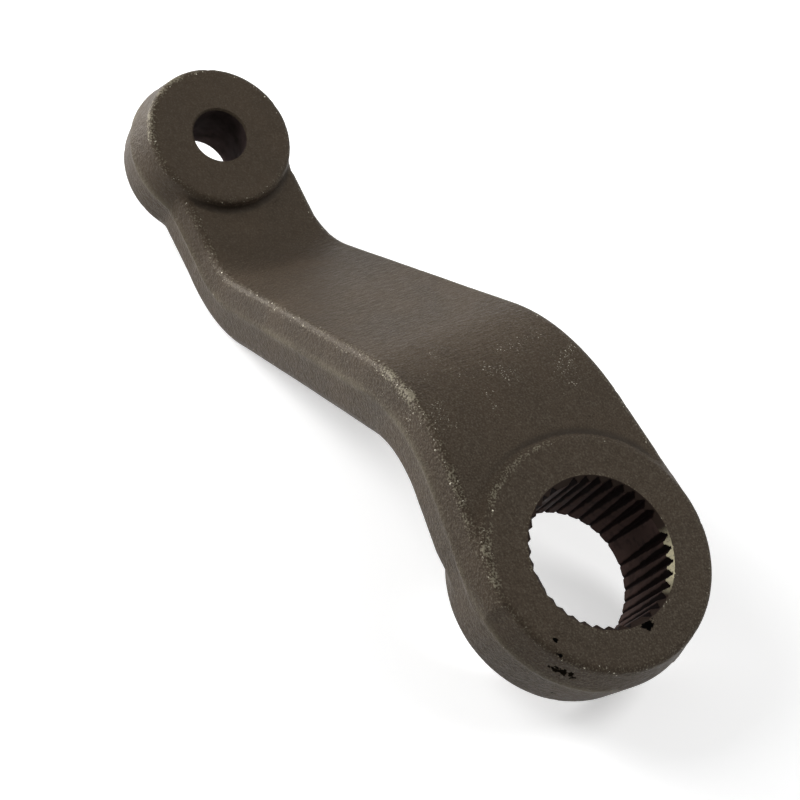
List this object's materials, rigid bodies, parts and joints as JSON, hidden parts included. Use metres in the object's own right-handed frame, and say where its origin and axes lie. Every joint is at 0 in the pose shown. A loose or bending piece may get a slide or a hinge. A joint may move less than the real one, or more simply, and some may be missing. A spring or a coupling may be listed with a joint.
{
  "type": "pitman arm",
  "caption": "Forged, cranked steering arm: a serrated eye for the steering shaft, a sloping, narrowing arm and a lower, smaller eye with a tapered hole for a ball stud.",
  "frame": {"origin": "on the axis of the serrated bore, half way through the large eye", "axes": "+Z along both bores, towards the side that the steering shaft enters; +X from the large eye to the small eye; +Y completes a right-handed frame"},
  "size_m": [0.1731, 0.0528, 0.0823],
  "materials": {
    "forged_steel": "dark olive-brown phosphate and oil coat over grainy as-forged steel, worn bright on the edges"
  },
  "bodies": {
    "root": {"pitman_arm": "forged_steel"}
  },
  "joints": []
}
